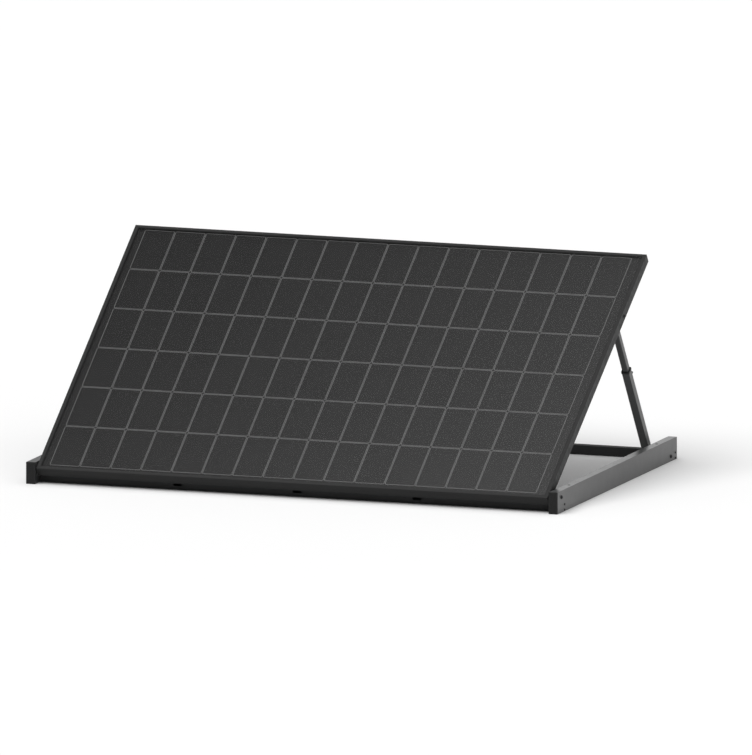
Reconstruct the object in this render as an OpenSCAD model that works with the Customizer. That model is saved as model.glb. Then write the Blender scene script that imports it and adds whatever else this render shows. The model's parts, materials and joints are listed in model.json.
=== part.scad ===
// Free-standing solar panel: a framed module hinged between two ground rails and
// propped by two telescopic legs. Millimetres, +X to the right along the module,
// +Y to the back, +Z up. The origin is on the ground, at the centre of the base.

/* [Module] */
// Length of the module, along X
module_length = 1708; // [1690:1:1760]
// Width of the module, up the slope
module_width = 1134; // [1120:1:1150]
// Depth of the module frame
module_depth = 30; // [30:1:32]
// Tilt of the module above the ground, in degrees
tilt = 33.7; // [32:0.1:35]
// Number of cell columns along the module
cell_columns = 16; // [8:1:16]
// Width of a cell, along X
cell_width = 100.1; // [60:0.1:100.1]
// Height of a cell, up the slope
cell_height = 181.1; // [120:0.1:181.1]
// Gap between neighbouring cells
cell_gap = 1.7; // [1:0.1:1.7]
// Corner radius of a cell
cell_corner = 8; // [2:1:12]

/* [Module frame] */
// Width of the frame lip over the glass
lip_width = 10.5; // [8:0.5:11]
// Wall thickness of the frame extrusion
frame_wall = 1.5; // [1.2:0.1:1.6]
// Outer width of the closed chamber along the frame's outer face
chamber_width = 10; // [9:0.5:10.5]
// Width of the frame's rear flange
flange_width = 28; // [20:1:28]
// Thickness of the frame's rear flange
flange_thickness = 1.8; // [1.5:0.1:1.9]
// Width of the bead of sealant along the inner edge of the lip
bead_width = 2.5; // [1:0.5:5]

/* [Base] */
// Length of the base from the front end caps to the rear end caps
base_length = 1134; // [1120:1:1160]
// Height of a rail
rail_height = 70; // [68:1:80]
// Width of a rail
rail_width = 30; // [28:1:34]
// Wall thickness of the rails and crossbars
tube_wall = 2; // [1.5:0.1:2.5]
// Gap between the module frame and each rail
rail_gap = 4; // [4:0.5:6]
// Height and width of a crossbar
crossbar_size = 30; // [28:1:32]
// Distance of the front crossbar from the front of the base
crossbar_setback = 53; // [45:1:60]
// Distance of the anchor holes' centres from each end of the base
anchor_inset = 151; // [100:1:200]
// Diameter of the anchor holes
anchor_d = 11; // [6:0.5:12]
// Distance between the slots of the front crossbar
slot_spacing = 400; // [200:1:500]
// Length of a slot in the front crossbar
slot_length = 30; // [12:1:40]
// Width of a slot in the front crossbar
slot_width = 8; // [5:0.5:10]

/* [Module hinge] */
// Distance of the hinge axis from the front of the base
hinge_setback = 37.8; // [36:0.1:42]
// Height of the hinge axis above the ground
hinge_height = 49.8; // [45:0.1:55]
// Distance of the hinge axis from the module's lower edge, up the slope
hinge_u = 30; // [29:1:34]
// Depth of the hinge axis behind the module's front face
hinge_v = 22; // [20:0.5:22]
// Shoulder diameter of the hinge bolts
shoulder_d = 8; // [6:0.5:8]

/* [Legs] */
// Gap between each leg's inner tube and the rear flange of the module frame
leg_gap = 3; // [2:0.5:8]
// Distance of the foot pivot from the front of the base
foot_setback = 1077; // [1070:1:1080]
// Height of the foot pivot above the ground
foot_height = 16; // [15:0.5:20]
// Distance of the upper pivot from the module's lower edge, up the slope
top_u = 867; // [850:1:880]
// Depth of the upper pivot behind the module's front face
top_v = 19; // [19:0.5:20]
// Outer size of the lower, outer tube
outer_tube = 25; // [25:0.5:26]
// Outer size of the upper, inner tube
inner_tube = 20; // [19:0.5:20]
// Distance from the foot pivot to the top end of the outer tube
outer_reach = 371; // [340:1:380]
// Distance from the foot pivot to the bottom end of the inner tube
inner_start = 200; // [190:1:230]
// Diameter of the pivot bolts of the legs
pivot_d = 8; // [6:0.5:8]
// Play of the pivot bolt in the eye across the leg, each way
eye_play_across = 3.5; // [0.5:0.1:3.8]
// Play of the pivot bolt in the eye along the leg, each way
eye_play_along = 0.6; // [0.3:0.1:1.2]
// Backward swing of the legs that centres the play over the range of tilt, in degrees
eye_swing = 0.228; // [0:0.001:0.3]
// Distance from the foot pivot to the clamping knob
knob_reach = 338; // [300:1:340]
// Diameter of the clamping knob
knob_d = 18; // [15:1:20]

/* [Hidden] */
$fn = 48;

LEFT = -1;
RIGHT = 1;
// Extra length of a cutting tool past the face that it cuts
past = 1;

// Layers of the module, as depths behind the front face
lip_v = 1.5;
glass_v = 2.3;
front_eva_v = 5.5;
cell_v = 6.0;
ribbon_v = 6.2;
rear_eva_v = 6.4;
backsheet_v = 6.7;
laminate_v = 7.0;
shelf_v = 7.5;
// Gap between the laminate's edge and the frame's outer face
laminate_inset = 2.5;
half_length = module_length / 2;
flange_v = module_depth - flange_thickness;

// Grid of cells
cell_rows = 6;
column_pitch = cell_width + cell_gap;
row_pitch = cell_height + cell_gap;
grid_length = cell_columns * column_pitch - cell_gap;
// Offset of the grid from the middle of the module, along X and up the slope
grid_offset = [-5, 5.5];
grid_left = grid_offset.x - grid_length / 2;
grid_right = grid_offset.x + grid_length / 2;
grid_bottom = (module_width - cell_rows * row_pitch + cell_gap) / 2 + grid_offset.y;

// Ribbons behind the cells, and the lanes that the bus ribbons run in
ribbon_width = 5;
ribbon_spread = 55;
lane_width = 6;
lane_gap = 4;
inner_lane = grid_left - lane_gap - lane_width;
outer_lane = inner_lane - lane_gap - lane_width;
right_lane = grid_right + lane_gap;
inner_tap = 45;
outer_tap = 15;

// Junction box on the backsheet, level with the middle of the cells
box_length = 90;
box_width = 120;
box_wall = 2;
box_corner = 5;
box_x = -745;
box_u = module_width / 2 + grid_offset.y;
box_end_v = 24;
gasket_end_v = 25;
lid_end_v = 27;
tap_x = box_x - box_length / 2 + 12;
tap_slot = [12, 104];
tab_v = 12;
tab_length = 18;
tab_thickness = 0.8;
diode_body = [9, 16, 4];
diode_legs = [4, 2 * outer_tap - 2, 0.6];
diode_x = tap_x + 11;
gland_spread = 35;
gland_v = 15.5;
gland_bore_d = 6.2;
gland_spigot_d = 12;
gland_length = 14;
gland_hex_d = 16;
gland_hex = 8;

// Base
front_y = -base_length / 2;
rail_x = half_length + rail_gap + rail_width / 2;
rail_inner_x = rail_x - rail_width / 2;
rail_outer_x = rail_x + rail_width / 2;
cap_plate = 3;
cap_plug = 8;
cap_wall = 2;
cap_ribs = 7;
cap_groove = 1.4;
cap_groove_depth = 0.7;
cap_margin = [2, 4];
tube_corner = 1.5;
rear_crossbar_y = front_y + base_length - crossbar_size / 2;
front_crossbar_y = front_y + crossbar_setback + crossbar_size / 2;
block_length = 25;
screw_d = 4;
screw_bite = 20;
screw_heights = [5.5, 22.5];

// Head diameter, head height and socket width of the bolts and screws
pivot_head = [12, 3.5, 5.7];
flat_head = [12, 3.2, 5.7];
screw_head = [6.8, 2.2, 2.9];
// Width across flats and height of the nuts
pivot_nut = [13, 8];
hinge_nut = [10, 6.5];
// Length of thread that shows past a nut
thread_end = 1;
// Gap around a part that is pressed or pushed into its place
push_gap = 0.1;

// Hinge
hinge_y = front_y + hinge_setback;
hinge_z = hinge_height;
edge_y = hinge_y - hinge_u * cos(tilt) - hinge_v * sin(tilt);
edge_z = hinge_z - hinge_u * sin(tilt) + hinge_v * cos(tilt);
bush_d = 11;
bush_flange_d = 18;
bush_flange = 3.6;
face_gap = 0.3;
running_gap = 0.05;
hinge_thread_d = 6;
spacer_d = 10;

// Legs
leg_x = half_length - flange_width - leg_gap - inner_tube / 2;
foot_y = front_y + foot_setback;
foot_z = foot_height;
top_y = edge_y + top_u * cos(tilt) + top_v * sin(tilt);
top_z = edge_z + top_u * sin(tilt) - top_v * cos(tilt);
leg_length = norm([foot_y - top_y, top_z - foot_z]);
leg_lean = atan2(foot_y - top_y, top_z - foot_z) + eye_swing;
leg_wall = 2;
leg_corner = 2;
foot_overhang = 7;
foot_cap = 1.5;
plug_depth = 24;
guide_head = 8;
slide_gap = 0.2;
eye_neck = 12;
sleeve_d = 14;
collar_skirt = 5;
collar_lip = 2;
collar_wall = 1.2;
boss_d = 13;
boss_height = 4;
boss_spigot_d = 9;
stud_d = 6;
stud_tip_gap = 0.2;
knob_standoff = 0.5;
knob_hub_d = 12;
knob_hub = 3;
knob_thickness = 8;
knob_overlap = 1;
knob_lobes = 5;
lobe_turn = 22;

// ---- shared shapes ----

// A rectangle with round corners, centred
module round_rect(size, r) {
    square([size.x - 2 * r, size.y], center = true);
    square([size.x, size.y - 2 * r], center = true);
    for (x = [-1, 1], y = [-1, 1])
        translate([x * (size.x / 2 - r), y * (size.y / 2 - r)]) circle(r);
}

// A square tube along Z from 0, with round outer corners
module square_tube(size, wall, length, r) {
    difference() {
        linear_extrude(length) round_rect([size, size], r);
        translate([0, 0, -past])
            linear_extrude(length + 2 * past)
                square(size - 2 * wall, center = true);
    }
}

// A cylinder along +X from the origin
module rod_x(d, length) {
    rotate([0, 90, 0]) cylinder(d = d, h = length);
}

// A tube along +X from the origin
module sleeve_x(d, bore, length) {
    difference() {
        rod_x(d, length);
        translate([-past, 0, 0]) rod_x(bore, length + 2 * past);
    }
}

// A bolt along -X with its head outwards from the origin. The size gives the head's
// diameter, its height and its hex socket; the head is low and tapers in two steps.
module bolt_x(size, d, length) {
    r = size[0] / 2;
    height = size[1];
    socket = size[2];
    difference() {
        union() {
            rotate([0, 90, 0])
                rotate_extrude()
                    polygon([
                        [0, 0], [r, 0], [r, height * 0.5],
                        [r * 0.84, height * 0.85], [r * 0.6, height], [0, height]
                    ]);
            translate([-length, 0, 0]) rod_x(d, length);
        }
        translate([height * 0.4, 0, 0])
            rotate([0, 90, 0]) cylinder(d = socket, h = height, $fn = 6);
    }
}

// A lock nut along -X from the origin, with its round collar away from the joint. The
// size gives its width across flats and its height.
module nut_x(size, bore) {
    across = size[0];
    height = size[1];
    flats = height * 0.7;
    collar_d = across * 0.94;
    difference() {
        union() {
            translate([-flats, 0, 0])
                rotate([0, 90, 0]) cylinder(d = across / cos(30), h = flats, $fn = 6);
            translate([-height, 0, 0]) rod_x(collar_d, height);
        }
        translate([-height - past, 0, 0]) rod_x(bore, height + 2 * past);
    }
}

// Mirrors its children to the right or leaves them on the left
module on_side(side) {
    mirror([side == LEFT ? 1 : 0, 0, 0]) children();
}

// The child once on each side
module both_sides() {
    for (side = [LEFT, RIGHT]) on_side(side) children();
}

// The module's own frame: X along it, Y up the slope, Z out of the front face
module on_module() {
    translate([0, edge_y, edge_z]) rotate([tilt, 0, 0]) children();
}

// A leg's own frame, on the right: Z along the leg from the foot pivot
module on_leg() {
    translate([leg_x, foot_y, foot_z]) rotate([leg_lean, 0, 0]) children();
}

// The clamping screw's frame: X into the leg from its rear face, with the origin there
module on_back() {
    translate([0, outer_tube / 2, knob_reach]) rotate([0, 0, -90]) children();
}

// ---- base ----

module rail(side) {
    length = base_length - 2 * cap_plate;
    color("#4b4d50")
        on_side(side)
            difference() {
                translate([rail_x, front_y + cap_plate, rail_height / 2])
                    rotate([-90, 0, 0])
                        linear_extrude(length)
                            difference() {
                                round_rect([rail_width, rail_height], tube_corner);
                                square(
                                    [rail_width - 2 * tube_wall, rail_height - 2 * tube_wall],
                                    center = true
                                );
                            }
                rail_holes();
            }
}

module rail_holes() {
    reach = rail_width + 2 * past;
    translate([rail_inner_x - past, hinge_y, hinge_z]) rod_x(bush_d, reach);
    translate([rail_inner_x - past, foot_y, foot_z]) rod_x(pivot_d, reach);
    for (y = [front_crossbar_y, rear_crossbar_y], z = screw_heights)
        translate([rail_inner_x - past, y, z]) rod_x(screw_d, reach);
    for (end = [-1, 1])
        translate([rail_x, end * (base_length / 2 - anchor_inset), -past])
            cylinder(d = anchor_d, h = rail_height + 2 * past);
}

module rail_end_caps() {
    color("#1c1c1d")
        both_sides()
            for (end = [0, 1])
                mirror([0, end, 0])
                    translate([rail_x, front_y, rail_height / 2]) end_cap();
}

// An end cap: a ribbed plate and a hollow plug, along +Y from its outer face
module end_cap() {
    rib_pitch = (rail_width - 2 * cap_margin.x) / cap_ribs;
    plug = [rail_width - 2 * tube_wall, rail_height - 2 * tube_wall];
    groove_height = rail_height - 2 * cap_margin.y;
    difference() {
        rotate([-90, 0, 0])
            linear_extrude(cap_plate) round_rect([rail_width, rail_height], tube_corner);
        for (i = [1:cap_ribs - 1])
            translate([(i - cap_ribs / 2) * rib_pitch - cap_groove / 2, -past, -groove_height / 2])
                cube([cap_groove, past + cap_groove_depth, groove_height]);
    }
    translate([0, cap_plate, 0])
        rotate([-90, 0, 0])
            linear_extrude(cap_plug)
                difference() {
                    square(plug, center = true);
                    square([plug.x - 2 * cap_wall, plug.y - 2 * cap_wall], center = true);
                }
}

// A crossbar between the rails, with its centre line at the origin's height
module crossbar() {
    length = 2 * rail_inner_x;
    translate([-length / 2, 0, crossbar_size / 2])
        rotate([90, 0, 90])
            square_tube(crossbar_size, tube_wall, length, tube_corner);
}

module front_crossbar() {
    color("#232324")
        translate([0, front_crossbar_y, 0])
            difference() {
                crossbar();
                for (i = [-1:1]) translate([i * slot_spacing, 0, crossbar_size / 2]) slot();
            }
}

// An oblong slot through the front wall of the crossbar
module slot() {
    straight = slot_length - slot_width;
    depth = tube_wall + 2 * past;
    translate([0, -crossbar_size / 2 - past, 0]) {
        translate([-straight / 2, 0, -slot_width / 2]) cube([straight, depth, slot_width]);
        for (end = [-1, 1])
            translate([end * straight / 2, 0, 0])
                rotate([-90, 0, 0]) cylinder(d = slot_width, h = depth);
    }
}

module rear_crossbar() {
    color("#1b1b1c") translate([0, rear_crossbar_y, 0]) crossbar();
}

// The four blocks in the crossbars' ends that the screws bite into
module crossbar_end_blocks() {
    size = crossbar_size - 2 * tube_wall - 2 * push_gap;
    color("#8d8f92")
        both_sides()
            for (y = [front_crossbar_y, rear_crossbar_y])
                difference() {
                    translate([rail_inner_x - block_length, y - size / 2, tube_wall + push_gap])
                        cube([block_length, size, size]);
                    for (z = screw_heights)
                        translate([rail_inner_x - block_length - past, y, z])
                            rod_x(screw_d, block_length + 2 * past);
                }
}

module crossbar_screws() {
    color("#141414")
        both_sides()
            for (y = [front_crossbar_y, rear_crossbar_y], z = screw_heights)
                translate([rail_outer_x, y, z])
                    bolt_x(screw_head, screw_d, rail_width + screw_bite);
}

module hinge_bushes() {
    bore = shoulder_d + 2 * running_gap;
    color("#d8d4c8")
        both_sides()
            translate([rail_inner_x - bush_flange, hinge_y, hinge_z])
                difference() {
                    union() {
                        rod_x(bush_flange_d, bush_flange);
                        rod_x(bush_d, bush_flange + rail_width);
                    }
                    translate([-past, 0, 0]) rod_x(bore, bush_flange + rail_width + 2 * past);
                }
}

// The pivot bolts of the legs' feet, fixed to the rails
module foot_bolts() {
    inner_end = leg_x - outer_tube / 2 - face_gap - pivot_nut[1] - thread_end;
    color("#141414")
        both_sides()
            translate([rail_outer_x, foot_y, foot_z])
                bolt_x(pivot_head, pivot_d, rail_outer_x - inner_end);
}

module foot_crush_sleeves() {
    color("#8d8f92")
        both_sides()
            translate([rail_inner_x + tube_wall, foot_y, foot_z])
                sleeve_x(sleeve_d, pivot_d, rail_width - 2 * tube_wall);
}

module foot_spacers() {
    start = leg_x + outer_tube / 2 + face_gap;
    color("#2a2a2b")
        both_sides()
            translate([start, foot_y, foot_z]) sleeve_x(sleeve_d, pivot_d, rail_inner_x - start);
}

module foot_nuts() {
    color("#9a9c9e")
        both_sides()
            translate([leg_x - outer_tube / 2 - face_gap, foot_y, foot_z])
                nut_x(pivot_nut, pivot_d);
}

// ---- module frame ----

// Section of the frame extrusion: X inwards from the outer face, Y out of the front face
module frame_profile() {
    translate([0, -module_depth]) square([frame_wall, module_depth]);
    translate([0, -lip_v]) square([lip_width, lip_v]);
    translate([0, -shelf_v - frame_wall]) square([chamber_width, frame_wall]);
    translate([chamber_width - frame_wall, -module_depth])
        square([frame_wall, module_depth - shelf_v]);
    translate([0, -module_depth]) square([flange_width, flange_thickness]);
}

// A frame bar along X at the lower edge, mitred at both ends
module frame_bar(length) {
    mitre = flange_width + past;
    intersection() {
        translate([-length / 2, 0, 0]) rotate([90, 0, 90]) linear_extrude(length) frame_profile();
        translate([0, 0, -module_depth - past])
            linear_extrude(module_depth + 2 * past)
                polygon([
                    [-length / 2, 0], [length / 2, 0],
                    [length / 2 - mitre, mitre], [mitre - length / 2, mitre]
                ]);
    }
}

module frame_bottom() {
    color("#2b2b2c") on_module() frame_bar(module_length);
}

module frame_top() {
    color("#2b2b2c")
        on_module() translate([0, module_width, 0]) mirror([0, 1, 0]) frame_bar(module_length);
}

// A side bar, with the holes of the hinge bolt and of the leg's upper pivot
module frame_side(side) {
    reach = chamber_width + 2 * past;
    color("#2b2b2c")
        on_side(side)
            on_module()
                difference() {
                    translate([half_length, module_width / 2, 0])
                        rotate([0, 0, 90]) frame_bar(module_width);
                    translate([half_length - reach + past, hinge_u, -hinge_v])
                        rod_x(hinge_thread_d, reach);
                    translate([half_length - reach + past, top_u, -top_v]) rod_x(pivot_d, reach);
                }
}

// The four angle pieces crimped into the chamber at the frame's corners
module corner_keys() {
    arm = 20;
    start = frame_wall + push_gap;
    width = chamber_width - 2 * (frame_wall + push_gap);
    depth = flange_v - shelf_v - frame_wall - 2 * push_gap;
    color("#8d8f92")
        on_module()
            translate([0, module_width / 2, 0])
                for (x = [0, 1], y = [0, 1])
                    mirror([x, 0, 0])
                        mirror([0, y, 0])
                            translate([
                                start - half_length, start - module_width / 2, push_gap - flange_v
                            ]) {
                                cube([arm, width, depth]);
                                cube([width, arm, depth]);
                            }
}

// ---- laminate ----

// A rectangle set in from the module's outer edges
module inset_rect(inset) {
    translate([inset - half_length, inset])
        square([module_length - 2 * inset, module_width - 2 * inset]);
}

// A plate between two depths behind the front face
module layer(v, end_v) {
    translate([0, 0, -end_v]) linear_extrude(end_v - v) children();
}

// The bedding that wraps the laminate's edge, with a bead along the lip
module frame_sealant() {
    color("#101010")
        on_module() {
            sealant_ring(lip_v, glass_v, frame_wall, lip_width + bead_width);
            sealant_ring(glass_v, laminate_v, frame_wall, laminate_inset);
            sealant_ring(laminate_v, shelf_v, frame_wall, chamber_width);
        }
}

module sealant_ring(v, end_v, outer, inner) {
    layer(v, end_v)
        difference() {
            inset_rect(outer);
            inset_rect(inner);
        }
}

module front_glass() {
    color("#39404a") on_module() layer(glass_v, front_eva_v) inset_rect(laminate_inset);
}

module front_encapsulant() {
    color("#d9dcdd") on_module() layer(front_eva_v, cell_v) inset_rect(laminate_inset);
}

module rear_encapsulant() {
    color("#d9dcdd")
        on_module()
            layer(rear_eva_v, backsheet_v)
                difference() {
                    inset_rect(laminate_inset);
                    tap_opening();
                }
}

module backsheet() {
    color("#161617")
        on_module()
            layer(backsheet_v, laminate_v)
                difference() {
                    inset_rect(laminate_inset);
                    tap_opening();
                }
}

// The opening that the terminal tabs pass through into the junction box
module tap_opening() {
    translate([tap_x, box_u]) square(tap_slot, center = true);
}

// One row of cells, numbered from 1 at the lower edge
module cell_row(row) {
    color("#1d1f24")
        on_module()
            layer(cell_v, ribbon_v)
                for (i = [0:cell_columns - 1])
                    translate([column_x(i), row_u(row)])
                        round_rect([cell_width, cell_height], cell_corner);
}

function column_x(i) = grid_left + cell_width / 2 + i * column_pitch;
function row_u(row) = grid_bottom + cell_height / 2 + (row - 1) * row_pitch;

// Three ribbons behind each row; the end rows reach out to the outer lane
module cell_ribbons() {
    color("#b98b52")
        on_module()
            layer(ribbon_v, rear_eva_v)
                for (row = [1:cell_rows], k = [-1:1]) {
                    lane = row == 1 || row == cell_rows ? outer_lane : inner_lane;
                    start = lane + lane_width;
                    translate([start, row_u(row) + k * ribbon_spread - ribbon_width / 2])
                        square([right_lane - start, ribbon_width]);
                }
}

// Ribbons that join the rows in series and lead four taps to the junction box
module bus_ribbons() {
    color("#b98b52")
        on_module()
            layer(ribbon_v, rear_eva_v) {
                for (row = [1:2:cell_rows])
                    bus(right_lane, row_u(row) - ribbon_spread, row_u(row + 1) + ribbon_spread);
                for (row = [2:2:cell_rows - 1])
                    bus(inner_lane, row_u(row) - ribbon_spread, row_u(row + 1) + ribbon_spread);
                bus(outer_lane, row_u(1) - ribbon_spread, box_u - outer_tap);
                bus(outer_lane, box_u + outer_tap, row_u(6) + ribbon_spread);
                for (k = [-1, 1]) {
                    tap(inner_lane, box_u + k * inner_tap);
                    tap(outer_lane, box_u + k * outer_tap);
                }
            }
}

// A bus ribbon in the lane that starts at x, between two heights up the slope
module bus(x, low, high) {
    translate([x, low - ribbon_width / 2]) square([lane_width, high - low + ribbon_width]);
}

// A ribbon from a lane to the opening of the junction box
module tap(x, u) {
    start = x + lane_width - past;
    translate([start, u - ribbon_width / 2]) square([tap_x - start, ribbon_width]);
}

// ---- junction box ----

module junction_box() {
    inner = [box_length - 2 * box_wall, box_width - 2 * box_wall];
    color("#18191a")
        on_module()
            difference() {
                layer(laminate_v, box_end_v)
                    translate([box_x, box_u]) round_rect([box_length, box_width], box_corner);
                layer(laminate_v + box_wall, box_end_v + past)
                    translate([box_x, box_u]) square(inner, center = true);
                layer(laminate_v - past, box_end_v) tap_opening();
                for (k = [-1, 1])
                    translate([
                        box_x + box_length / 2 - 3 * box_wall, box_u + k * gland_spread, -gland_v
                    ])
                        rod_x(gland_spigot_d, 4 * box_wall);
            }
}

module junction_box_gasket() {
    color("#6b6b6b")
        on_module()
            layer(box_end_v, gasket_end_v)
                translate([box_x, box_u])
                    difference() {
                        round_rect([box_length, box_width], box_corner);
                        square([box_length - 4 * box_wall, box_width - 4 * box_wall], center = true);
                    }
}

module junction_box_lid() {
    color("#18191a")
        on_module()
            layer(gasket_end_v, lid_end_v)
                translate([box_x, box_u]) round_rect([box_length, box_width], box_corner);
}

function tap_heights() = [-inner_tap, -outer_tap, outer_tap, inner_tap];

module terminal_tabs() {
    color("#c9a15c")
        on_module()
            for (k = tap_heights())
                translate([tap_x - tab_thickness, box_u + k - ribbon_width / 2, -tab_v]) {
                    cube([tab_thickness, ribbon_width, tab_v - rear_eva_v]);
                    cube([tab_length, ribbon_width, tab_thickness]);
                }
}

// One diode across each neighbouring pair of tabs
module bypass_diodes() {
    color("#0f0f10")
        on_module()
            for (k = [-1:1], size = [diode_body, diode_legs])
                translate([
                    diode_x - size.x / 2, box_u + k * 2 * outer_tap - size.y / 2, -tab_v - size.z
                ])
                    cube(size);
}

module cable_glands() {
    start = box_x + box_length / 2 - box_wall;
    length = box_wall + gland_length;
    color("#202122")
        on_module()
            for (k = [-1, 1])
                translate([start, box_u + k * gland_spread, -gland_v])
                    difference() {
                        union() {
                            rod_x(gland_spigot_d, length);
                            translate([box_wall, 0, 0])
                                rotate([0, 90, 0]) cylinder(d = gland_hex_d, h = gland_hex, $fn = 6);
                        }
                        translate([-past, 0, 0]) rod_x(gland_bore_d, length + 2 * past);
                    }
}

// ---- pivots carried by the module ----

// Shoulder bolts: the head and shoulder turn in the rail's bush
module hinge_bolts() {
    shoulder = rail_outer_x + face_gap - half_length;
    thread = chamber_width + hinge_nut[1] + thread_end;
    color("#141414")
        both_sides()
            translate([0, hinge_y, hinge_z])
                union() {
                    translate([rail_outer_x + face_gap, 0, 0])
                        bolt_x(pivot_head, shoulder_d, shoulder);
                    translate([half_length - thread, 0, 0]) rod_x(hinge_thread_d, thread);
                }
}

// Tubes in the frame's chamber that keep its walls apart under the bolts
module frame_crush_spacers() {
    start = half_length - chamber_width + frame_wall;
    length = chamber_width - 2 * frame_wall;
    color("#8d8f92")
        both_sides()
            on_module() {
                translate([start, hinge_u, -hinge_v]) sleeve_x(spacer_d, hinge_thread_d, length);
                translate([start, top_u, -top_v]) sleeve_x(sleeve_d, pivot_d, length);
            }
}

module hinge_nuts() {
    color("#9a9c9e")
        both_sides()
            on_module()
                translate([half_length - chamber_width, hinge_u, -hinge_v])
                    nut_x(hinge_nut, hinge_thread_d);
}

module leg_top_bolts() {
    inner_end = leg_x - inner_tube / 2 - face_gap - pivot_nut[1] - thread_end;
    color("#141414")
        both_sides()
            on_module()
                translate([half_length, top_u, -top_v])
                    bolt_x(flat_head, pivot_d, half_length - inner_end);
}

module leg_top_sleeves() {
    start = leg_x + inner_tube / 2 + face_gap;
    color("#2a2a2b")
        both_sides()
            on_module()
                translate([start, top_u, -top_v])
                    sleeve_x(sleeve_d, pivot_d, half_length - chamber_width - start);
}

module leg_top_nuts() {
    color("#9a9c9e")
        both_sides()
            on_module()
                translate([leg_x - inner_tube / 2 - face_gap, top_u, -top_v])
                    nut_x(pivot_nut, pivot_d);
}

// ---- legs ----

module leg_outer_tube(side) {
    color("#55575a")
        on_side(side)
            on_leg()
                difference() {
                    translate([0, 0, -foot_overhang])
                        square_tube(outer_tube, leg_wall, outer_reach + foot_overhang, leg_corner);
                    translate([-outer_tube, 0, 0]) rod_x(pivot_d + 2 * face_gap, 2 * outer_tube);
                    on_back() rod_x(boss_spigot_d, outer_tube / 2);
                }
}

// The plug in the tube's lower end; the foot bolt runs in its bore
module leg_foot_plug(side) {
    core = outer_tube - 2 * leg_wall - push_gap;
    color("#1c1c1d")
        on_side(side)
            on_leg()
                difference() {
                    union() {
                        translate([0, 0, -foot_overhang - foot_cap])
                            linear_extrude(foot_cap)
                                round_rect([outer_tube, outer_tube], leg_corner);
                        translate([0, 0, -foot_overhang])
                            linear_extrude(plug_depth) square(core, center = true);
                    }
                    translate([-outer_tube, 0, 0])
                        rod_x(pivot_d + 2 * running_gap, 2 * outer_tube);
                }
}

// The collar on the outer tube's top end, which guides the inner tube
module leg_collar(side) {
    size = outer_tube + 2 * collar_wall;
    color("#121213")
        on_side(side)
            on_leg()
                translate([0, 0, outer_reach - collar_skirt])
                    difference() {
                        linear_extrude(collar_skirt + collar_lip)
                            round_rect([size, size], leg_corner + 1);
                        translate([0, 0, -past])
                            linear_extrude(collar_skirt + past)
                                round_rect([outer_tube, outer_tube], leg_corner);
                        linear_extrude(collar_skirt + collar_lip + past)
                            square(inner_tube + 2 * face_gap, center = true);
                    }
}

// The threaded boss of the clamping knob, on the leg's rear face
module knob_boss(side) {
    color("#8d8f92")
        on_side(side)
            on_leg()
                on_back()
                    difference() {
                        union() {
                            translate([-boss_height, 0, 0]) rod_x(boss_d, boss_height);
                            translate([-boss_height, 0, 0])
                                rod_x(boss_spigot_d, boss_height + leg_wall);
                        }
                        translate([-boss_height - past, 0, 0])
                            rod_x(stud_d + 2 * running_gap, boss_height + leg_wall + 2 * past);
                    }
}

module leg_inner_tube(side) {
    color("#55575a")
        on_side(side)
            on_leg()
                translate([0, 0, inner_start])
                    square_tube(inner_tube, leg_wall, leg_length - eye_neck - inner_start, leg_wall);
}

// The guide at the inner tube's lower end, which slides in the outer tube
module leg_guide_plug(side) {
    head = outer_tube - 2 * leg_wall - 2 * slide_gap;
    core = inner_tube - 2 * leg_wall - push_gap;
    color("#d8d4c8")
        on_side(side)
            on_leg()
                translate([0, 0, inner_start]) {
                    translate([0, 0, -guide_head])
                        linear_extrude(guide_head) square(head, center = true);
                    linear_extrude(plug_depth) square(core, center = true);
                }
}

// The round-ended eye in the inner tube's top end; the bolt has play in its hole
module leg_eye(side) {
    core = inner_tube - 2 * leg_wall - push_gap;
    r = inner_tube / 2;
    color("#1c1c1d")
        on_side(side)
            on_leg()
                translate([0, 0, leg_length])
                    difference() {
                        union() {
                            translate([-r, 0, 0]) rod_x(inner_tube, inner_tube);
                            translate([-r, -r, -eye_neck]) cube([inner_tube, inner_tube, eye_neck]);
                            translate([-core / 2, -core / 2, -eye_neck - plug_depth])
                                cube([core, core, plug_depth]);
                        }
                        eye_hole(pivot_d + 2 * eye_play_along, eye_play_across - eye_play_along);
                    }
}

// An oblong hole along X: its height, and the reach of its round ends each way
module eye_hole(height, reach) {
    length = inner_tube + 2 * past;
    for (end = [-1, 1]) translate([-length / 2, end * reach, 0]) rod_x(height, length);
    translate([-length / 2, -reach, -height / 2]) cube([length, 2 * reach, height]);
}

// The knob and its stud, whose tip stops just short of the inner tube
module lock_knob(side) {
    stud = boss_height + (outer_tube - inner_tube) / 2 + knob_standoff - stud_tip_gap;
    color("#1a1a1b")
        on_side(side)
            on_leg()
                on_back()
                    translate([-boss_height - knob_standoff - knob_hub, 0, 0]) {
                        rod_x(stud_d, knob_hub + stud);
                        rod_x(knob_hub_d, knob_hub);
                        translate([knob_overlap - knob_thickness, 0, 0])
                            rotate([0, 90, 0]) linear_extrude(knob_thickness) knob_outline();
                    }
}

// A round disc with lobes around its edge
module knob_outline() {
    lobe_r = knob_d * 0.16;
    circle(knob_d * 0.37);
    for (i = [0:knob_lobes - 1])
        rotate(lobe_turn + i * 360 / knob_lobes)
            translate([knob_d / 2 - lobe_r, 0]) circle(lobe_r);
}

// ---- nodes ----

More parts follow.
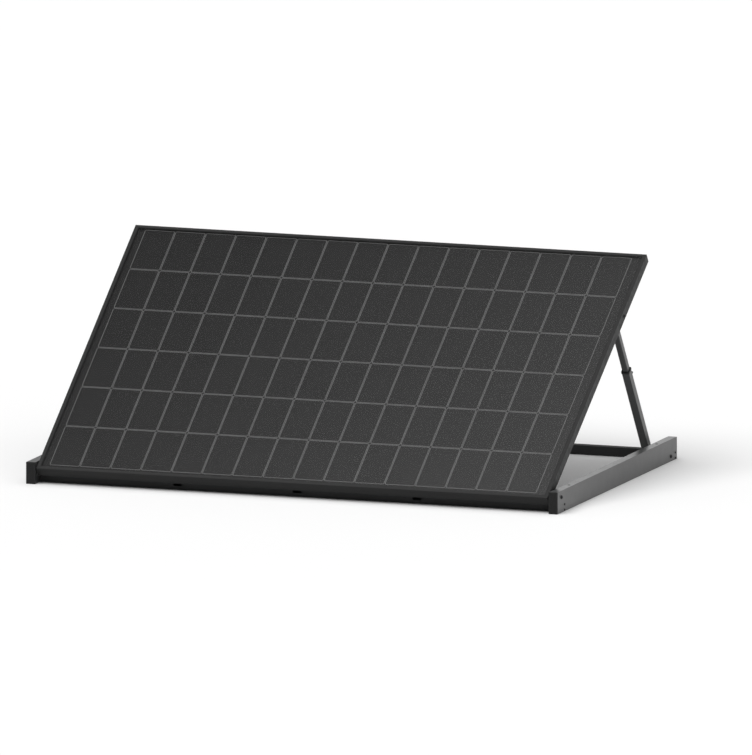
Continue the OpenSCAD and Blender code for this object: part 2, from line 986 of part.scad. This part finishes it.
rail(LEFT);  // rail_left
rail(RIGHT);  // rail_right
rail_end_caps();
front_crossbar();
rear_crossbar();
crossbar_end_blocks();
crossbar_screws();
hinge_bushes();
foot_bolts();
foot_crush_sleeves();
foot_spacers();
foot_nuts();
frame_top();
frame_bottom();
frame_side(LEFT);  // frame_left
frame_side(RIGHT);  // frame_right
corner_keys();
frame_sealant();
front_glass();
front_encapsulant();
cell_row(1);  // cell_row_1
cell_row(2);  // cell_row_2
cell_row(3);  // cell_row_3
cell_row(4);  // cell_row_4
cell_row(5);  // cell_row_5
cell_row(6);  // cell_row_6
cell_ribbons();
bus_ribbons();
rear_encapsulant();
backsheet();
junction_box();
junction_box_gasket();
junction_box_lid();
terminal_tabs();
bypass_diodes();
cable_glands();
hinge_bolts();
frame_crush_spacers();
hinge_nuts();
leg_top_bolts();
leg_top_sleeves();
leg_top_nuts();
leg_outer_tube(LEFT);  // leg_outer_tube_left
leg_outer_tube(RIGHT);  // leg_outer_tube_right
leg_foot_plug(LEFT);  // leg_foot_plug_left
leg_foot_plug(RIGHT);  // leg_foot_plug_right
leg_collar(LEFT);  // leg_collar_left
leg_collar(RIGHT);  // leg_collar_right
knob_boss(LEFT);  // knob_boss_left
knob_boss(RIGHT);  // knob_boss_right
leg_inner_tube(LEFT);  // leg_inner_tube_left
leg_inner_tube(RIGHT);  // leg_inner_tube_right
leg_guide_plug(LEFT);  // leg_guide_plug_left
leg_guide_plug(RIGHT);  // leg_guide_plug_right
leg_eye(LEFT);  // leg_eye_left
leg_eye(RIGHT);  // leg_eye_right
lock_knob(LEFT);  // lock_knob_left
lock_knob(RIGHT);  // lock_knob_right
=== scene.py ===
"""Looks of the free-standing solar panel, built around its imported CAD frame.

Lengths are in metres. The module has axes of its own, turned by its tilt: X along it,
Y up the slope and Z out of its front face. The new pieces on it are built in those axes.
"""

import json
import math

import bmesh
import bpy
from mathutils import Matrix, Vector


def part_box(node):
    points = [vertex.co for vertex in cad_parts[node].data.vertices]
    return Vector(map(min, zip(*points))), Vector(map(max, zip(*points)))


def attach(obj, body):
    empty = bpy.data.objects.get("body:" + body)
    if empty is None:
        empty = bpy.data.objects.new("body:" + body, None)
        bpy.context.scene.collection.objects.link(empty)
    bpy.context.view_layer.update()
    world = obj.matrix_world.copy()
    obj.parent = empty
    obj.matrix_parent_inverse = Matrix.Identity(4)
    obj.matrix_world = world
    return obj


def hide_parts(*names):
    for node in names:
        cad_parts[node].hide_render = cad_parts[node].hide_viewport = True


MM = 0.001

# Cells along the module and up its slope
COLUMNS = 16
ROWS = 6

# The painted reflection on the glass grows along this way across the module, between these two
# places
PAINTED_REFLECTION_DIRECTION = (0.365, -0.345, 0)
PAINTED_REFLECTION_SPREAD = (-0.548, 0.452)
PAINTED_REFLECTION_POWER = 1.4

# How much of the film's thickness the new glass takes up, so that it stays off the cells
GLASS_IN_FILM = 0.8

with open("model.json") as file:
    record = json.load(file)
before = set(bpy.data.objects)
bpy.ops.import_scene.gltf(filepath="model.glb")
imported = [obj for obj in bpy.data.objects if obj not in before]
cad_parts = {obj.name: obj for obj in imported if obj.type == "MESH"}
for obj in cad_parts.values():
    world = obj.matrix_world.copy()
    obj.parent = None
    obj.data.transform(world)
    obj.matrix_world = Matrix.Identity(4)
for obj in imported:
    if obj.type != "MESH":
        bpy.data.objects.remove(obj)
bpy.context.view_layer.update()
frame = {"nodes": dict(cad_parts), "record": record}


# ---- camera, floor and light ----

def aim(thing, place, target):
    """Puts a camera or a light at a place and points it at a target."""
    thing.location = place
    thing.rotation_euler = (Vector(target) - Vector(place)).to_track_quat("-Z", "Y").to_euler()


def add_camera(azimuth, elevation, view_height, target):
    """A parallel view from the front right, as tall as view_height."""
    distance = 8
    a, e = math.radians(azimuth), math.radians(elevation)
    back = Vector((math.sin(a) * math.cos(e), -math.cos(a) * math.cos(e), math.sin(e)))
    data = bpy.data.cameras.new("camera")
    data.type = "ORTHO"
    data.ortho_scale = view_height
    data.clip_end = 200
    camera = bpy.data.objects.new("camera", data)
    bpy.context.scene.collection.objects.link(camera)
    aim(camera, Vector(target) + distance * back, target)
    bpy.context.scene.camera = camera


def add_floor(half_size):
    """A pale floor that reaches far behind the object."""
    mesh = bpy.data.meshes.new("floor")
    corners = [(-1, -1), (1, -1), (1, 1), (-1, 1)]
    mesh.from_pydata([(x * half_size, y * half_size, 0) for x, y in corners], [], [(0, 1, 2, 3)])
    floor = bpy.data.objects.new("floor", mesh)
    bpy.context.scene.collection.objects.link(floor)
    material = bpy.data.materials.new("floor")
    material.use_nodes = True
    shader = material.node_tree.nodes["Principled BSDF"]
    shader.inputs["Base Color"].default_value = (0.8, 0.8, 0.8, 1)
    shader.inputs["Roughness"].default_value = 0.9
    shader.inputs["Specular IOR Level"].default_value = 0.1
    mesh.materials.append(material)


def add_sky(bright_side, low, high):
    """Soft light, low all round and high towards the bright side, over a white underside."""
    world = bpy.data.worlds.new("sky")
    world.use_nodes = True
    tree = world.node_tree
    direction = tree.nodes.new("ShaderNodeTexCoord")
    towards = tree.nodes.new("ShaderNodeVectorMath")
    towards.operation = "DOT_PRODUCT"
    towards.inputs[1].default_value = Vector(bright_side).normalized()
    strength = tree.nodes.new("ShaderNodeMapRange")
    strength.inputs["To Min"].default_value = low
    strength.inputs["To Max"].default_value = high
    split = tree.nodes.new("ShaderNodeSeparateXYZ")
    underside = tree.nodes.new("ShaderNodeMath")
    underside.operation = "LESS_THAN"
    underside.inputs[1].default_value = 0
    brighter = tree.nodes.new("ShaderNodeMath")
    brighter.operation = "MAXIMUM"
    background = tree.nodes["Background"]
    background.inputs["Color"].default_value = (1, 1, 1, 1)
    tree.links.new(direction.outputs["Generated"], towards.inputs[0])
    tree.links.new(towards.outputs["Value"], strength.inputs["Value"])
    tree.links.new(direction.outputs["Generated"], split.inputs[0])
    tree.links.new(split.outputs["Z"], underside.inputs[0])
    tree.links.new(underside.outputs[0], brighter.inputs[0])
    tree.links.new(strength.outputs["Result"], brighter.inputs[1])
    tree.links.new(brighter.outputs[0], background.inputs["Strength"])
    bpy.context.scene.world = world


def add_light(name, data, place, target):
    """Puts a light in the scene and returns it."""
    light = bpy.data.objects.new(name, data)
    bpy.context.scene.collection.objects.link(light)
    aim(light, place, target)
    return light


def add_sun(name, direction, strength, spread):
    """A wide, soft light from a direction, the same all over the floor."""
    data = bpy.data.lights.new(name, "SUN")
    data.energy = strength
    data.angle = math.radians(spread)
    add_light(name, data, direction, (0, 0, 0))


def add_softbox(name, place, target, power, size, pieces):
    """A round softbox that lights only some pieces, so it leaves no shadow on the floor."""
    data = bpy.data.lights.new(name, "AREA")
    data.shape = "DISK"
    data.size = size
    data.energy = power
    light = add_light(name, data, place, target)
    lit = bpy.data.collections.new(name)
    for piece in pieces:
        lit.objects.link(piece)
    light.light_linking.receiver_collection = lit


# ---- the module's own axes ----

def middle(node):
    """The middle of a CAD node's box."""
    low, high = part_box(node)
    return (low + high) / 2


UP_SLOPE = middle(f"cell_row_{ROWS}") - middle("cell_row_1")
ROW_PITCH = UP_SLOPE.length / (ROWS - 1)
TILT = math.atan2(UP_SLOPE.z, UP_SLOPE.y)
MODULE = Matrix.Rotation(TILT, 4, "X")


def slab(node):
    """Middle, length, width and thickness of a flat CAD node in the module's axes."""
    low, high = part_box(node)
    size = high - low
    c, s = math.cos(TILT), math.sin(TILT)
    width = (size.y * c - size.z * s) / (c * c - s * s)
    thickness = (size.z * c - size.y * s) / (c * c - s * s)
    return MODULE.inverted() @ middle(node), size.x, width, thickness


# ---- materials ----

class Paint:
    """A Principled material, with short calls that add the nodes behind its sockets."""

    def __init__(self, name, roughness, metallic=0.0, specular=0.5, turn=0.0, stretch=(1, 1, 1)):
        self.material = bpy.data.materials.new(name)
        self.material.use_nodes = True
        self.tree = self.material.node_tree
        self.shader = self.tree.nodes["Principled BSDF"]
        self.set("Roughness", roughness)
        self.set("Metallic", metallic)
        self.set("Specular IOR Level", specular)
        place = self.add("ShaderNodeTexCoord")
        self.turned = self.add("ShaderNodeMapping")
        self.turned.vector_type = "TEXTURE"
        self.turned.inputs["Rotation"].default_value = (turn, 0, 0)
        self.turned.inputs["Scale"].default_value = stretch
        self.link(place.outputs["Object"], self.turned.inputs["Vector"])

    def add(self, kind):
        return self.tree.nodes.new(kind)

    def link(self, out, into):
        self.tree.links.new(out, into)

    def set(self, socket, value):
        self.shader.inputs[socket].default_value = value

    def noise(self, scale, detail, roughness=0.5):
        """A cloudy value around one half; a larger scale makes it finer."""
        node = self.add("ShaderNodeTexNoise")
        node.inputs["Scale"].default_value = scale
        node.inputs["Detail"].default_value = detail
        node.inputs["Roughness"].default_value = roughness
        self.link(self.turned.outputs["Vector"], node.inputs["Vector"])
        return node.outputs["Fac"]

    def between(self, factor, low, high, spread=(0.3, 0.7)):
        """A value that goes from low to high as the factor crosses the spread."""
        node = self.add("ShaderNodeMapRange")
        node.inputs["From Min"].default_value = spread[0]
        node.inputs["From Max"].default_value = spread[1]
        node.inputs["To Min"].default_value = low
        node.inputs["To Max"].default_value = high
        self.link(factor, node.inputs["Value"])
        return node.outputs["Result"]

    def mix(self, factor, low, high):
        """A colour between two others, by the factor."""
        node = self.add("ShaderNodeMix")
        node.data_type = "RGBA"
        colours = [s for s in node.inputs if s.type == "RGBA"]
        for socket, colour in zip(colours, (low, high)):
            if isinstance(colour, bpy.types.NodeSocket):
                self.link(colour, socket)
            else:
                socket.default_value = (*colour, 1)
        self.link(factor, node.inputs[0])
        return [s for s in node.outputs if s.type == "RGBA"][0]

    def colour(self, factor, low, high, spread=(0.3, 0.7)):
        """Colours the surface between two greys, by the factor."""
        mixed = self.mix(self.between(factor, 0, 1, spread), low, high)
        self.link(mixed, self.shader.inputs["Base Color"])

    def vary(self, socket, factor, low, high):
        """Lets a socket of the shader go from low to high, by the factor."""
        self.link(self.between(factor, low, high), self.shader.inputs[socket])

    def bump(self, height, depth, strength):
        """Raises the surface by up to the depth where the height is 1."""
        node = self.add("ShaderNodeBump")
        node.inputs["Strength"].default_value = strength
        node.inputs["Distance"].default_value = depth
        self.link(height, node.inputs["Height"])
        self.link(node.outputs["Normal"], self.shader.inputs["Normal"])


def grey(tone, tint=0.0):
    """A near-neutral colour; a positive tint makes it a little cooler."""
    return (tone * (1 - tint), tone, tone * (1 + tint))


def powder_coat(name, tone, roughness=0.5, specular=0.4):
    """Powder coat on steel: a satin skin with fine orange peel and faint cloudiness."""
    paint = Paint(name, roughness, specular=specular)
    paint.colour(paint.noise(7, 6, 0.6), grey(tone * 0.96, 0.01), grey(tone * 1.04, 0.01))
    paint.vary("Roughness", paint.noise(26, 4), roughness * 0.92, roughness * 1.08)
    paint.bump(paint.noise(900, 2), 0.0001, 0.3)
    return paint.material


def anodised(name, tone, turn, stretch):
    """Black anodised extrusion: fine die lines along the bar under a matt bloom."""
    paint = Paint(name, 0.5, metallic=0.1, specular=0.25, turn=turn, stretch=stretch)
    paint.colour(paint.noise(140, 4), grey(tone * 0.88), grey(tone * 1.12))
    paint.vary("Roughness", paint.noise(60, 5), 0.44, 0.56)
    paint.bump(paint.noise(420, 2), 0.00003, 0.4)
    return paint.material


def moulded(name, tone, roughness=0.55):
    """Moulded plastic with a fine spark-eroded grain."""
    paint = Paint(name, roughness, specular=0.35)
    paint.colour(paint.noise(18, 5), grey(tone * 0.85), grey(tone * 1.15))
    paint.vary("Roughness", paint.noise(45, 3), roughness - 0.07, roughness + 0.07)
    paint.bump(paint.noise(1500, 2), 0.00008, 0.4)
    return paint.material


def metal(name, tone, roughness, tint=0.0, scale=60, stretch=(1, 1, 1)):
    """Bare or plated metal with a cloudy finish and fine scratches."""
    paint = Paint(name, roughness, metallic=1.0, stretch=stretch)
    paint.colour(paint.noise(scale, 5), grey(tone * 0.8, tint), grey(tone * 1.15, tint))
    paint.vary("Roughness", paint.noise(scale * 3, 4), roughness * 0.75, roughness * 1.3)
    paint.bump(paint.noise(scale * 12, 3), 0.00003, 0.4)
    return paint.material


def film(name, tone, turn):
    """A thin polymer film with a faint leathery surface."""
    paint = Paint(name, 0.5, specular=0.1, turn=turn)
    paint.colour(paint.noise(5, 5), grey(tone * 0.93), grey(tone * 1.07))
    paint.vary("Roughness", paint.noise(30, 3), 0.44, 0.56)
    paint.bump(paint.noise(700, 2), 0.00005, 0.3)
    return paint.material


def backsheet_material(turn):
    """The rear film, which shows the joints between the cells as faint raised lines."""
    paint = Paint("backsheet", 0.5, specular=0.2, turn=turn)
    low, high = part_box("cell_row_1")
    paint.turned.inputs["Location"].default_value = low
    cells = paint.add("ShaderNodeTexBrick")
    cells.offset = 0
    cells.inputs["Scale"].default_value = 1
    cells.inputs["Brick Width"].default_value = (high.x - low.x) / COLUMNS
    cells.inputs["Row Height"].default_value = ROW_PITCH
    cells.inputs["Mortar Size"].default_value = 2 * MM
    cells.inputs["Mortar Smooth"].default_value = 1
    paint.link(paint.turned.outputs["Vector"], cells.inputs["Vector"])
    imprint = paint.mix(cells.outputs["Fac"], grey(0.03), grey(0.045))
    paint.link(imprint, paint.shader.inputs["Base Color"])
    paint.vary("Roughness", paint.noise(30, 3), 0.44, 0.56)
    paint.bump(cells.outputs["Fac"], 0.0004, 0.6)
    return paint.material


def rubber(name, tone):
    """Dull rubber or sealant with a slightly uneven surface."""
    paint = Paint(name, 0.7, specular=0.25)
    paint.colour(paint.noise(40, 4), grey(tone * 0.85), grey(tone * 1.2))
    paint.bump(paint.noise(600, 3), 0.0001, 0.4)
    return paint.material


def cover_glass_material(turn):
    """Matt anti-reflective glass: nearly clear, with a painted reflection, its colour brightening
    from near black to grey towards the lower right.
    """
    paint = Paint("cover_glass", 0.4, specular=0.5, turn=turn)
    paint.set("Alpha", 0.14)
    # Painted reflection: the glass's base colour grows paler along this way, standing in for a soft
    # reflection towards the lower right
    across = paint.add("ShaderNodeVectorMath")
    across.operation = "DOT_PRODUCT"
    across.inputs[1].default_value = PAINTED_REFLECTION_DIRECTION
    paint.link(paint.turned.outputs["Vector"], across.inputs[0])
    painted_reflection = paint.add("ShaderNodeMath")
    painted_reflection.operation = "POWER"
    painted_reflection.inputs[1].default_value = PAINTED_REFLECTION_POWER
    paint.link(paint.between(across.outputs["Value"], 0, 1, PAINTED_REFLECTION_SPREAD), painted_reflection.inputs[0])
    paint.colour(painted_reflection.outputs[0], grey(0.006), grey(0.145), (0, 1))
    paint.vary("Roughness", paint.noise(12, 3), 0.36, 0.44)
    return paint.material


def cell_material(turn):
    """Textured black silicon: each cell has its own tone, with very faint print lines."""
    paint = Paint("cell", 0.5, specular=0.1, turn=turn)
    island = paint.add("ShaderNodeNewGeometry").outputs["Random Per Island"]
    lines = paint.add("ShaderNodeTexWave")
    lines.wave_type = "BANDS"
    lines.bands_direction = "Y"
    lines.inputs["Scale"].default_value = 100
    paint.link(paint.turned.outputs["Vector"], lines.inputs["Vector"])
    base = paint.mix(paint.between(island, 0, 1, (0, 1)), grey(0.0055, 0.02), grey(0.0062, 0.02))
    printed = paint.between(lines.outputs["Fac"], 0, 0.3, (0.7, 1.0))
    paint.link(paint.mix(printed, base, grey(0.0072)), paint.shader.inputs["Base Color"])
    paint.vary("Roughness", paint.noise(20, 3), 0.46, 0.54)
    return paint.material


def cell_edge_material(turn):
    """The paler rim of a cell, where its coating ends."""
    paint = Paint("cell_edge", 0.5, specular=0.2, turn=turn)
    paint.colour(paint.noise(30, 3), grey(0.15), grey(0.18))
    paint.vary("Roughness", paint.noise(80, 4), 0.4, 0.55)
    return paint.material


def make_materials():
    """One material for each material slot of the record."""
    along_x = (30, 1, 1)
    return {
        "rail": powder_coat("rail", 0.05, roughness=0.3, specular=0.5),
        "caps": moulded("caps", 0.007, roughness=0.6),
        "bar": powder_coat("bar", 0.05, roughness=0.7, specular=0.12),
        "alu": metal("alu", 0.5, 0.38, stretch=along_x),
        "black_steel": metal("black_steel", 0.05, 0.42),
        "black_spacer": moulded("black_spacer", 0.03),
        "nylon": moulded("nylon", 0.55, roughness=0.45),
        "zinc_steel": metal("zinc_steel", 0.5, 0.3, tint=0.02, scale=120),
        "module_frame": anodised("module_frame", 0.011, TILT, along_x),
        "sealant": rubber("sealant", 0.01),
        "cover_glass": cover_glass_material(TILT),
        "encapsulant": film("encapsulant", 0.006, TILT),
        "cells": cell_material(TILT),
        "copper": film("copper", 0.006, TILT),
        "backsheet": backsheet_material(TILT),
        "box_plastic": moulded("box_plastic", 0.02),
        "gasket": rubber("gasket", 0.1),
        "diode": moulded("diode", 0.012, roughness=0.35),
        "leg_tube": powder_coat("leg_tube", 0.07, roughness=0.36),
        "leg_plastic": moulded("leg_plastic", 0.018),
    }


# ---- the CAD nodes ----

# Width of the rounded edges of the nodes of a material slot, in millimetres
EDGE_WIDTHS = {
    "rail": 0.5, "caps": 0.5, "bar": 0.5, "alu": 0.4, "black_steel": 0.3, "black_spacer": 0.4,
    "nylon": 0.4, "zinc_steel": 0.4, "module_frame": 0.4, "box_plastic": 0.8, "gasket": 0.2,
    "diode": 0.3, "leg_tube": 0.5, "leg_plastic": 0.6,
}


def round_edges(thing, width):
    """Joins the faces of an imported mesh and rounds its sharp edges."""
    weld = thing.modifiers.new("weld", "WELD")
    weld.merge_threshold = 0.002 * MM
    flat = thing.modifiers.new("flat", "DECIMATE")
    flat.decimate_type = "DISSOLVE"
    flat.angle_limit = math.radians(0.5)
    bevel = thing.modifiers.new("edges", "BEVEL")
    bevel.width = width
    bevel.segments = 2
    bevel.limit_method = "ANGLE"
    bevel.angle_limit = math.radians(38)
    bevel.use_clamp_overlap = True
    normals = thing.modifiers.new("normals", "WEIGHTED_NORMAL")
    normals.keep_sharp = True


def dress_cad_nodes(materials):
    """Gives every CAD node its slot's material and, where it shows, rounded edges."""
    for part in frame["record"]["subparts"]:
        thing = frame["nodes"][part["node"]]
        slot = part["material_slot"]
        thing.data.materials.clear()
        thing.data.materials.append(materials[slot])
        if slot in EDGE_WIDTHS:
            round_edges(thing, EDGE_WIDTHS[slot] * MM)


# ---- new pieces ----

def new_module_piece(name, fill, materials, replaced):
    """Makes a mesh piece in the module's axes that stands for some CAD nodes."""
    mesh = bpy.data.meshes.new(name)
    build = bmesh.new()
    fill(build)
    bmesh.ops.recalc_face_normals(build, faces=build.faces)
    build.to_mesh(mesh)
    build.free()
    for material in materials:
        mesh.materials.append(material)
    piece = bpy.data.objects.new(name, mesh)
    bpy.context.scene.collection.objects.link(piece)
    piece.matrix_world = MODULE
    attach(piece, "module")
    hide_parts(*replaced)


def round_outline(centre, width, height, radius, steps=5):
    """Points round a rectangle with round corners, in the module's X and Y."""
    points = []
    for quarter, (sx, sy) in enumerate([(1, 1), (-1, 1), (-1, -1), (1, -1)]):
        cx = centre[0] + sx * (width / 2 - radius)
        cy = centre[1] + sy * (height / 2 - radius)
        for i in range(steps + 1):
            angle = (quarter + i / steps) * math.pi / 2
            points.append((cx + radius * math.cos(angle), cy + radius * math.sin(angle)))
    return points


def ring_of(build, points, z):
    """Vertices at the points, all at one height."""
    return [build.verts.new((x, y, z)) for x, y in points]


def bridge(build, low, high, slot):
    """Quads between two rings of the same number of points."""
    count = len(low)
    for i in range(count):
        j = (i + 1) % count
        face = build.faces.new((low[i], low[j], high[j], high[i]))
        face.material_index = slot


def stack(build, rings, slots):
    """A closed solid through a stack of rings; slots names the bands' materials, then the ends'."""
    base = build.faces.new(list(reversed(rings[0])))
    base.material_index = slots[-1]
    for low, high, slot in zip(rings, rings[1:], slots):
        bridge(build, low, high, slot)
    top = build.faces.new(rings[-1])
    top.material_index = slots[-1]


def add_cell(build, centre, width, height, back, front):
    """A cell with round corners: a dark face inside a thin raised rim."""
    corner, rim, rise = 6 * MM, 2.2 * MM, 0.04 * MM
    outer = round_outline(centre, width, height, corner)
    inner = round_outline(centre, width - 2 * rim, height - 2 * rim, corner - rim)
    rings = [
        ring_of(build, outer, back),
        ring_of(build, outer, front),
        ring_of(build, inner, front),
        ring_of(build, inner, front - rise),
    ]
    stack(build, rings, [1, 1, 1, 0])


def add_cells(materials):
    """Rows of separate cells, each row in place of its plain CAD row."""
    edge = cell_edge_material(TILT)
    for row in range(1, ROWS + 1):
        node = f"cell_row_{row}"
        centre, length, height, thickness = slab(node)
        gap = ROW_PITCH - height
        pitch = (length + gap) / COLUMNS
        back, front = centre.z - thickness / 2, centre.z + thickness / 2

        def fill(build):
            for i in range(COLUMNS):
                x = centre.x + (i - (COLUMNS - 1) / 2) * pitch
                add_cell(build, (x, centre.y), pitch - gap, height, back, front)

        new_module_piece(f"cells_{row}", fill, [materials["cells"], edge], [node])


def add_cover_glass(materials):
    """The glass with its ground edge, in place of the plain plates of glass and film."""
    centre, length, width, thickness = slab("front_glass")
    film_thickness = slab("front_encapsulant")[3]
    arris = 0.6 * MM
    front = centre.z + thickness / 2
    back = centre.z - thickness / 2 - GLASS_IN_FILM * film_thickness

    def fill(build):
        full = round_outline(centre, length, width, 1.5 * MM, 3)
        ground = round_outline(centre, length - 2 * arris, width - 2 * arris, 1 * MM, 3)
        rings = [
            ring_of(build, full, back),
            ring_of(build, full, front - arris),
            ring_of(build, ground, front),
        ]
        stack(build, rings, [0, 0, 0])

    new_module_piece(
        "cover_glass", fill, [materials["cover_glass"]],
        ["front_glass", "front_encapsulant"],
    )


bpy.context.scene.view_settings.view_transform = "Standard"
add_camera(azimuth=19.4, elevation=9.5, view_height=2.380, target=(0.082, 0, 0.304))
add_floor(60)
add_sky(bright_side=(0.25, 0.3, 0.92), low=0.15, high=0.95)
add_sun("key", (-0.25, -0.45, 0.86), strength=2.3, spread=50)

materials = make_materials()
dress_cad_nodes(materials)
add_cover_glass(materials)
add_cells(materials)
rails = [frame["nodes"]["rail_left"], frame["nodes"]["rail_right"]]
add_softbox(
    "rail_light", place=(-0.45, 3.7, 0.9), target=(0.87, 0, 0.07), power=9, size=2.5, pieces=rails,
)
